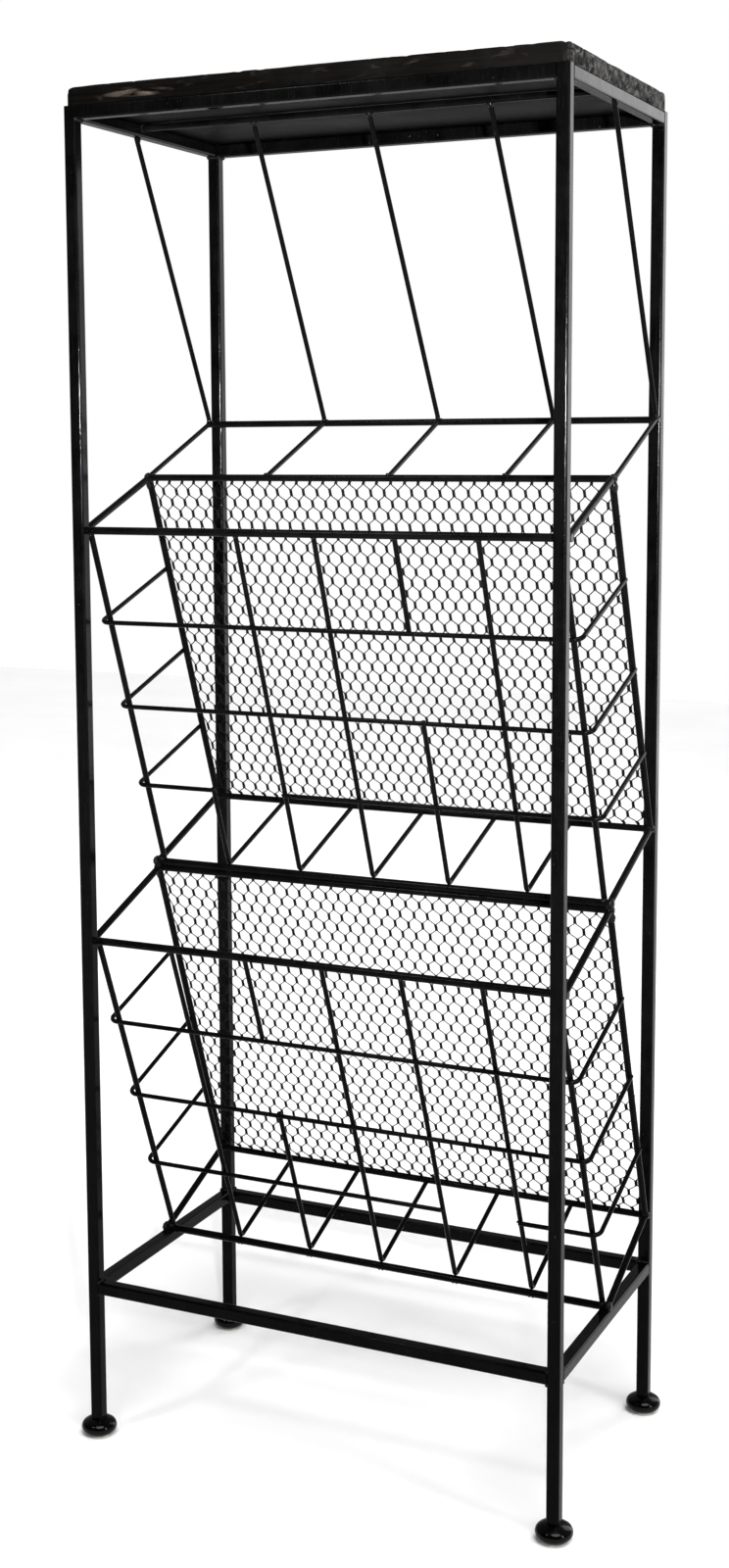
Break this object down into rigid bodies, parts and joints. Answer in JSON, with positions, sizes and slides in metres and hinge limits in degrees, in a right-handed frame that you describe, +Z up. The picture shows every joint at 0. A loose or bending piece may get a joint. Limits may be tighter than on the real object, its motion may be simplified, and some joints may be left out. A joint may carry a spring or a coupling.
{
  "type": "newspaper rack",
  "caption": "Free-standing black steel newspaper rack with a worn wooden top, an open magazine tier with divider wires and two tilted wire baskets with netting backs.",
  "frame": {"origin": "centre of the four feet at floor level", "axes": "+X to the right seen from the front, +Y to the back, +Z up"},
  "size_m": [0.532, 0.316, 1.351],
  "materials": {
    "black_steel": "satin",
    "netting_wire": "satin",
    "worn_wood": "worn satin",
    "foot_black": "gloss",
    "pad_pale": "matte"
  },
  "bodies": {
    "root": {"leg_front_left": "black_steel", "leg_front_right": "black_steel", "leg_back_left": "black_steel", "leg_back_right": "black_steel", "foot_front_left": "foot_black", "foot_front_right": "foot_black", "foot_back_left": "foot_black", "foot_back_right": "foot_black", "foot_pads": "pad_pale", "top_rail_front": "black_steel", "top_rail_back": "black_steel", "top_rail_left": "black_steel", "top_rail_right": "black_steel", "lower_rail_front": "black_steel", "lower_rail_back": "black_steel", "lower_rail_left": "black_steel", "lower_rail_right": "black_steel", "top_slab": "worn_wood", "top_rod": "black_steel", "back_rail": "black_steel", "divider_wire_left": "black_steel", "divider_wire_right": "black_steel", "divider_wire_1": "black_steel", "divider_wire_2": "black_steel", "divider_wire_3": "black_steel", "upper_front_rail": "black_steel", "upper_bottom_rail": "black_steel", "upper_netting_top_rod": "black_steel", "upper_netting_bottom_rod": "black_steel", "upper_netting_side_rods": "black_steel", "upper_rim_side_rods": "black_steel", "upper_floor_side_rods": "black_steel", "upper_end_wires": "black_steel", "upper_netting": "netting_wire", "upper_front_wire_1": "black_steel", "upper_front_wire_2": "black_steel", "upper_front_wire_3": "black_steel", "upper_front_wire_4": "black_steel", "upper_front_wire_5": "black_steel", "upper_hoop_1": "black_steel", "upper_hoop_2": "black_steel", "upper_hoop_3": "black_steel", "lower_front_rail": "black_steel", "lower_bottom_rail": "black_steel", "lower_netting_top_rod": "black_steel", "lower_netting_bottom_rod": "black_steel", "lower_netting_side_rods": "black_steel", "lower_rim_side_rods": "black_steel", "lower_floor_side_rods": "black_steel", "lower_end_wires": "black_steel", "lower_netting": "netting_wire", "lower_front_wire_1": "black_steel", "lower_front_wire_2": "black_steel", "lower_front_wire_3": "black_steel", "lower_front_wire_4": "black_steel", "lower_front_wire_5": "black_steel", "lower_hoop_1": "black_steel", "lower_hoop_2": "black_steel", "lower_hoop_3": "black_steel"}
  },
  "joints": []
}
